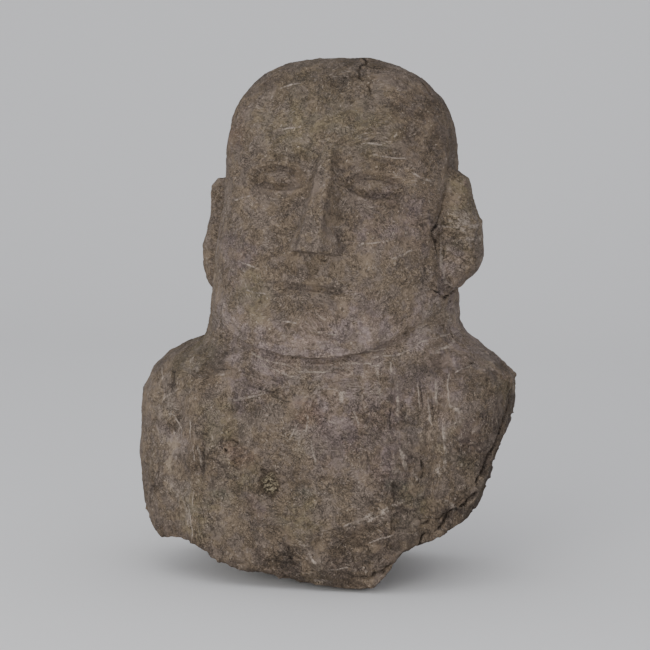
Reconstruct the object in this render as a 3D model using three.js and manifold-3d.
// A stone bust of an ancestor figure: head with long ears, neck, shoulders and
// upper arms, carved from one block and broken off below the chest.
// Millimetres, +Z up, the face towards -Y. The origin is in the flat patch of
// the break that the bust stands on.
import * as THREE from 'three';
import { mergeVertices } from 'three/addons/utils/BufferGeometryUtils.js';
import Module from 'manifold-3d';

const wasm = await Module();
wasm.setup();

// Driving sizes of the block
const HEIGHT = 600;
const BREADTH = 450;
const DEPTH = 252;
const HEAD_BREADTH = 276;

// The head: how far it leans back and to its left, and where the chin lies
const HEAD_TILT = THREE.MathUtils.degToRad(14);
const HEAD_ROLL = THREE.MathUtils.degToRad(4);
const CHIN_LEVEL = 0.45 * HEIGHT;
const CHIN_REACH = 0.243 * HEIGHT;
const HEAD_LENGTH = 0.59 * HEIGHT;
const DOME_LEVEL = 0.8 * HEIGHT;
const DOME_FULLNESS = 2.5;

// The neck shows as a band between the jaw and the collar line. Both lines run
// up towards the sides.
const JAW_RISE = 0.1 * HEIGHT;
const COLLAR_LEVEL = 0.396 * HEIGHT;
const COLLAR_RISE = 0.068 * HEIGHT;
const NECK_FRONT = 0.195 * HEIGHT;
const NECK_BACK = 0.174 * HEIGHT;

// Thirds of the head give the face: forehead, nose, mouth with chin
const THIRD = HEAD_LENGTH / 3;
const BROW = 2 * THIRD;
const NOSE_BASE = THIRD;
const MOUTH = NOSE_BASE * 2 / 3;
const EYE = HEAD_BREADTH / 5;
const EYE_LEVEL = BROW - 0.3 * THIRD;

// Depths of the carving
const BROW_RIDGE = 0.008 * HEIGHT;
const EYE_HOLLOW = 0.014 * HEIGHT;
const EYE_BOSS = 0.009 * HEIGHT;
const LIP = 0.008 * HEIGHT;
const MOUTH_CUT = 0.009 * HEIGHT;
const ARM_STEP = 0.014 * HEIGHT;
const SPINE_GROOVE = 0.009 * HEIGHT;

// The nose, a long wedge
const NOSE_WIDTH = EYE;
const NOSE_TOP_WIDTH = 0.4 * NOSE_WIDTH;
const NOSE_REACH = THIRD / 3;
const NOSE_TOP_REACH = 0.2 * NOSE_REACH;

// Where the arms part from the chest, as shares of the breadth
const RIGHT_ARM_LINE = -0.315;
const LEFT_ARM_LINE = 0.275;

// Fineness of the block's mesh
const SECTORS = 60;
const FRONT_CROWDING = 0.45;

const STONE = { color: 0x695d52, roughness: 0.92, metalness: 0 };

const { clamp, lerp, smoothstep } = THREE.MathUtils;

// A smooth curve through [at, value] pairs that never swings past them.
function through(pairs) {
  const slopes = pairs.slice(1).map(([at, value], i) => (value - pairs[i][1]) / (at - pairs[i][0]));
  const tangents = pairs.map((_, i) => {
    const before = slopes[Math.max(i - 1, 0)];
    const after = slopes[Math.min(i, slopes.length - 1)];
    return before * after <= 0 ? 0 : 2 * before * after / (before + after);
  });
  return at => {
    let i = pairs.findIndex(pair => pair[0] >= at);
    i = i < 0 ? pairs.length - 1 : Math.max(i, 1);
    const [from, start] = pairs[i - 1];
    const [to, end] = pairs[i];
    const run = to - from;
    const t = clamp((at - from) / run, 0, 1);
    const ease = t * t * (3 - 2 * t);
    return lerp(start, end, ease)
      + run * t * (1 - t) * ((1 - t) * tangents[i - 1] - t * tangents[i]);
  };
}

// A bump of height 1 at 0 that has faded out at distance 1.
const bump = distance => 1 - smoothstep(Math.abs(distance), 0, 1);

const centreOf = ring => ring.reduce((sum, p) => sum.add(p), new THREE.Vector3()).divideScalar(ring.length);

// A closed body from rings of points, with a fan over each end.
function loft(rings) {
  const count = rings[0].length;
  const points = [...rings.flat(), centreOf(rings[0]), centreOf(rings.at(-1))];
  const [bottom, top] = [points.length - 2, points.length - 1];
  const index = [];
  for (let i = 0; i < count; i++) {
    const next = (i + 1) % count;
    index.push(bottom, next, i);
    for (let ring = 0; ring < rings.length - 1; ring++) {
      const [a, b] = [ring * count + i, ring * count + next];
      index.push(a, b, a + count, b, b + count, a + count);
    }
    const last = (rings.length - 1) * count;
    index.push(top, last + i, last + next);
  }
  return new THREE.BufferGeometry().setFromPoints(points).setIndex(index);
}

function solidOf(geometry) {
  const merged = mergeVertices(geometry, 1e-3);
  return new wasm.Manifold(new wasm.Mesh({
    numProp: 3,
    vertProperties: merged.attributes.position.array,
    triVerts: new Uint32Array(merged.index.array),
  }));
}

function geometryOf(solid) {
  const mesh = solid.getMesh();
  return new THREE.BufferGeometry()
    .setAttribute('position', new THREE.BufferAttribute(mesh.vertProperties, 3))
    .setIndex(new THREE.BufferAttribute(mesh.triVerts, 1));
}

// Outlines of the block up to the dome of the head, as shares of its height
// against shares of its breadth or depth. Right and left are the figure's own.
const rightSide = through([
  [-0.09, 0.45], [-0.03, 0.475], [0.07, 0.498], [0.17, 0.507], [0.225, 0.517], [0.275, 0.51],
  [0.34, 0.513], [0.38, 0.491], [0.405, 0.472], [0.426, 0.44], [0.443, 0.384], [0.46, 0.34],
  [0.5, 0.323], [0.64, 0.298], [0.74, 0.28], [0.8, 0.283],
]);
const leftSide = through([
  [-0.09, 0.34], [-0.03, 0.37], [0.07, 0.42], [0.17, 0.45], [0.255, 0.462], [0.33, 0.47],
  [0.383, 0.472], [0.395, 0.476], [0.408, 0.476], [0.43, 0.427], [0.453, 0.387], [0.47, 0.352],
  [0.5, 0.327], [0.69, 0.318], [0.8, 0.318],
]);
const backSide = through([
  [-0.09, 0.4], [-0.03, 0.42], [0.09, 0.48], [0.255, 0.5], [0.38, 0.475], [0.46, 0.43],
  [0.5, 0.425], [0.585, 0.455], [0.71, 0.49], [0.8, 0.49],
]);
const chestFront = through([
  [-0.09, 0.4], [-0.03, 0.43], [0.05, 0.48], [0.13, 0.5], [0.225, 0.5], [0.32, 0.48], [0.39, 0.447],
]);
const squareness = through([[0, 3], [0.34, 2.7], [0.43, 2.3], [0.48, 2.3], [0.7, 2.6], [0.9, 2.2]]);

// The face leans back in one plane from the chin up.
const faceFront = z => CHIN_REACH - (z - CHIN_LEVEL) * Math.tan(HEAD_TILT);

// How far the front of a ring stands out, by the ring's level in front and its
// level at the place.
function frontSide(ringLevel, z) {
  const chest = chestFront(ringLevel / HEIGHT) * DEPTH;
  const onHead = smoothstep(ringLevel, COLLAR_LEVEL, CHIN_LEVEL);
  const chinRound = 0.01 * HEIGHT * bump((ringLevel - CHIN_LEVEL) / (0.03 * HEIGHT));
  return lerp(chest, faceFront(z) - chinRound, onHead);
}

// Size of the head's dome at a level, as a share of its size at its foot.
function domeShare(z) {
  const up = clamp((z - DOME_LEVEL) / (HEIGHT - DOME_LEVEL), 0, 1);
  return (1 - up ** DOME_FULLNESS) ** (1 / DOME_FULLNESS);
}

// A point of the uncarved block, by its ring's level in front, its own level
// and its angle round the axis.
function blockPoint(ringLevel, z, angle) {
  const level = z / HEIGHT;
  const left = leftSide(level) * BREADTH;
  const right = -rightSide(level) * BREADTH;
  const [back, front] = [backSide(level) * DEPTH, frontSide(ringLevel, z)];
  const power = 2 / squareness(level);
  const along = Math.sign(Math.cos(angle)) * Math.abs(Math.cos(angle)) ** power;
  const across = Math.sign(Math.sin(angle)) * Math.abs(Math.sin(angle)) ** power;
  const outline = new THREE.Vector3(
    (right + left) / 2 + along * (left - right) / 2,
    across * (across < 0 ? front : back),
    z,
  );
  const crown = new THREE.Vector3(0, 0.07 * DEPTH, z);
  return crown.lerp(outline, domeShare(z));
}

// The head's own frame, with its origin at the chin, X across the face and Z up it.
const head = new THREE.Object3D();
head.position.set(0, -CHIN_REACH, CHIN_LEVEL);
head.rotation.set(-HEAD_TILT, HEAD_ROLL, 0);
head.updateMatrixWorld(true);

// How far the face's carving stands proud of the block at a place on the face.
function faceRelief(u, w) {
  const side = Math.abs(u) / EYE;
  const underBrow = BROW - w;
  const ridge = bump(underBrow / (0.16 * THIRD)) * (1 - smoothstep(side, 1.7, 2.3));
  const hollow = bump((side - 1.05) / 0.95) * smoothstep(underBrow, -0.02 * THIRD, 0.1 * THIRD)
    * (1 - smoothstep(underBrow, 0.2 * THIRD, 0.85 * THIRD));
  const boss = bump(Math.hypot((side - 1) / 0.5, (w - EYE_LEVEL) / (0.28 * EYE)));
  const lips = bump((w - MOUTH) / (0.2 * THIRD)) * bump(side / 1.15);
  const cut = bump((w - MOUTH) / (0.07 * THIRD)) * (1 - smoothstep(side, 0.55, 0.85));
  return BROW_RIDGE * ridge + EYE_BOSS * boss + LIP * lips - EYE_HOLLOW * hollow - MOUTH_CUT * cut;
}

function carveFace(point) {
  const place = head.worldToLocal(point.clone());
  const front = new THREE.Vector3(0, -1, 0).transformDirection(head.matrixWorld);
  if (place.z > 0.02 * HEIGHT && point.y < 0) point.addScaledVector(front, faceRelief(place.x, place.z));
}

// How far out from the middle a direction points: 0 in front, 1 at the sides and behind.
const aside = angle => (Math.sin(angle) < 0 ? Math.abs(Math.cos(angle)) : 1);

// Rings of the block are level in front and run up round the sides with the
// jaw and the collar.
const ringRise = through([
  [0, 0], [0.12, 0], [COLLAR_LEVEL / HEIGHT, COLLAR_RISE], [CHIN_LEVEL / HEIGHT, JAW_RISE],
  [0.6, 0.5 * JAW_RISE], [0.78, 0], [1, 0],
]);

// Sets the neck back between the jaw and the collar.
function carveNeck(point, ringLevel, angle) {
  const inFront = Math.sin(angle) < 0;
  const round = Math.abs(Math.sin(angle)) ** 0.8;
  const surface = inFront ? -NECK_FRONT * round : NECK_BACK * round;
  const inNeck = ringLevel > COLLAR_LEVEL + 1 && ringLevel < CHIN_LEVEL - 1;
  if (inNeck && Math.abs(point.y) > Math.abs(surface)) point.y = surface;
}

// Parts the upper arms from the chest, and the two sides of the back.
function carveBody(point) {
  const level = point.z / HEIGHT;
  const length = smoothstep(level, 0, 0.1) * (1 - smoothstep(level, 0.33, 0.4));
  const line = (point.x < 0 ? RIGHT_ARM_LINE : LEFT_ARM_LINE) * BREADTH;
  const step = smoothstep(Math.abs(point.x), Math.abs(line), Math.abs(line) + 0.03 * BREADTH);
  const spine = bump(point.x / (0.05 * BREADTH));
  if (point.y < 0) point.y += length * ARM_STEP * step;
  else point.y -= length * SPINE_GROOVE * spine;
}

// Levels of the rings in front, closer where there is more carving.
function ringLevels() {
  const collar = COLLAR_LEVEL / HEIGHT;
  const chin = CHIN_LEVEL / HEIGHT;
  const zones = [[-0.09, 0, 2], [0, collar, 15], [collar, collar + 0.013, 1], [collar + 0.013, chin - 0.006, 4],
    [chin - 0.006, chin, 1], [chin, 0.62, 11], [0.62, 0.86, 17], [0.86, 0.9, 2]];
  const levels = zones.flatMap(([from, to, steps]) =>
    Array.from({ length: steps }, (_, i) => lerp(from, to, i / steps) * HEIGHT));
  const dome = [0.9, 0.925, 0.95, 0.968, 0.982, 0.991, 0.997, 0.9998];
  return [...levels, ...dome.map(level => level * HEIGHT)];
}

// Angles round the axis, crowded towards the front.
function ringAngles() {
  return Array.from({ length: SECTORS }, (_, i) => {
    const turn = 2 * i / SECTORS - 1;
    return -Math.PI / 2 + Math.PI * (FRONT_CROWDING * turn ** 3 + (1 - FRONT_CROWDING) * turn);
  });
}

function block() {
  const angles = ringAngles();
  const rings = ringLevels().map(ringLevel => angles.map(angle => {
    const z = ringLevel + ringRise(ringLevel / HEIGHT) * aside(angle) ** 2;
    const point = blockPoint(ringLevel, z, angle);
    carveFace(point);
    carveNeck(point, ringLevel, angle);
    carveBody(point);
    return point;
  }));
  return solidOf(loft(rings));
}

// The nose is a wedge with a narrow flat ridge, set into the face.
function nose() {
  const steps = 8;
  const root = 0.25 * NOSE_WIDTH;
  const rings = Array.from({ length: steps + 1 }, (_, i) => {
    const up = i / steps;
    const w = lerp(NOSE_BASE, BROW + 0.05 * THIRD, up);
    const half = lerp(NOSE_WIDTH, NOSE_TOP_WIDTH, up) / 2 * (1 + 0.1 * bump(up / 0.3));
    const ridge = 0.45 * half;
    const reach = lerp(NOSE_REACH, NOSE_TOP_REACH, up);
    const section = [[-half, root], [-half, 0], [-ridge, -reach], [ridge, -reach], [half, 0], [half, root]];
    return section.map(([u, v]) => head.localToWorld(new THREE.Vector3(u, v, w + 0.15 * v * (1 - up))));
  });
  return solidOf(loft(rings));
}

// A long ear as a slab against the head. Its shape is given as levels of how
// far it stands out and half its depth. Side is 1 for the left, -1 for the right.
function ear(side, middle, shape) {
  const steps = 16;
  const corners = 16;
  const reach = through(shape.map(([level, out]) => [level, out * BREADTH]));
  const half = through(shape.map(([level, , depth]) => [level, depth * DEPTH]));
  const [low, high] = [shape[0][0], shape.at(-1)[0]];
  const inside = 0.24 * BREADTH;
  const rings = Array.from({ length: steps + 1 }, (_, i) => {
    const level = lerp(low, high, i / steps);
    const outside = reach(level);
    const ring = Array.from({ length: corners }, (_, k) => {
      const angle = 2 * Math.PI * k / corners;
      const [c, s] = [Math.cos(angle), Math.sin(angle)];
      const x = lerp(inside, outside, (1 + Math.sign(c) * Math.abs(c) ** 0.6) / 2);
      const y = middle * DEPTH + Math.sign(s) * Math.abs(s) ** 0.6 * half(level);
      return new THREE.Vector3(side * x, y, level * HEIGHT);
    });
    return side < 0 ? ring.reverse() : ring;
  });
  return solidOf(loft(rings));
}

// The middle of each ear, front to back, as a share of the depth. The left ear
// lies further forward, almost flush with the cheek.
const LEFT_EAR_MIDDLE = -0.055;
const RIGHT_EAR_MIDDLE = 0.03;
const LEFT_EAR = [[0.545, 0.29, 0.06], [0.562, 0.32, 0.1], [0.577, 0.35, 0.12], [0.592, 0.376, 0.13],
  [0.61, 0.393, 0.14], [0.63, 0.397, 0.14], [0.66, 0.392, 0.14], [0.69, 0.386, 0.13], [0.708, 0.379, 0.125],
  [0.722, 0.371, 0.11], [0.74, 0.367, 0.1], [0.768, 0.362, 0.09], [0.782, 0.35, 0.07], [0.79, 0.33, 0.045]];
const RIGHT_EAR = [[0.53, 0.3, 0.06], [0.555, 0.335, 0.1], [0.586, 0.345, 0.13], [0.628, 0.354, 0.14],
  [0.669, 0.342, 0.125], [0.71, 0.329, 0.11], [0.746, 0.333, 0.09], [0.767, 0.315, 0.05]];

// Level of the break's front edge across the bust, both as shares.
const breakLevel = through([
  [-0.56, 0.3], [-0.5, 0.155], [-0.455, 0.1], [-0.417, 0.076], [-0.345, 0.072], [-0.307, 0.064], [-0.25, 0.053],
  [-0.2, 0.04], [-0.14, 0.03], [-0.05, 0.024], [0.02, 0.016], [0.08, 0.01], [0.15, 0.014],
  [0.175, 0.024], [0.2, 0.05], [0.265, 0.087], [0.33, 0.108], [0.393, 0.12], [0.424, 0.148],
  [0.456, 0.196], [0.487, 0.265], [0.519, 0.3], [0.545, 0.345], [0.6, 0.42], [0.75, 0.5],
]);

// The stone missing below the break. The break comes down from its front edge
// to the flat patch that the bust stands on.
function belowTheBreak() {
  const [columns, rows] = [48, 12];
  const floor = -0.15 * HEIGHT;
  const [front, back] = [-0.7 * DEPTH, 0.7 * DEPTH];
  const rings = Array.from({ length: columns + 1 }, (_, i) => {
    const across = lerp(-0.56, 0.56, i / columns);
    const x = across * BREADTH;
    const surface = Array.from({ length: rows + 1 }, (_, k) => {
      const y = lerp(back, front, k / rows);
      const inward = smoothstep(y, 0.8 * front, 0);
      const oblique = 0.25 * (y / BREADTH + 0.23) * smoothstep(across, -0.05, 0.1);
      const layer = 0.022 * smoothstep(across, 0.3, 0.4) * (1 - smoothstep(y, 0.4 * front, 0.2 * front));
      const edge = breakLevel(across + oblique + layer);
      const drop = 0.035 * inward * (1 - smoothstep(edge, 0.03, 0.07));
      const rough = 0.012 * Math.sin(9 * y / DEPTH + 13 * across) * Math.sin(21 * across + 2 * y / DEPTH);
      const level = Math.max(0, edge - drop);
      return new THREE.Vector3(x, y, HEIGHT * (level + rough * smoothstep(level, 0, 0.06)));
    });
    return [...surface, new THREE.Vector3(x, front, floor), new THREE.Vector3(x, back, floor)];
  });
  return solidOf(loft(rings));
}

function stoneBust() {
  const solid = block()
    .add(nose())
    .add(ear(1, LEFT_EAR_MIDDLE, LEFT_EAR))
    .add(ear(-1, RIGHT_EAR_MIDDLE, RIGHT_EAR))
    .subtract(belowTheBreak());
  const bust = new THREE.Mesh(geometryOf(solid), new THREE.MeshStandardMaterial(STONE));
  bust.name = 'stone_bust';
  return bust;
}

const statue = new THREE.Group();
statue.add(stoneBust());

export default statue;
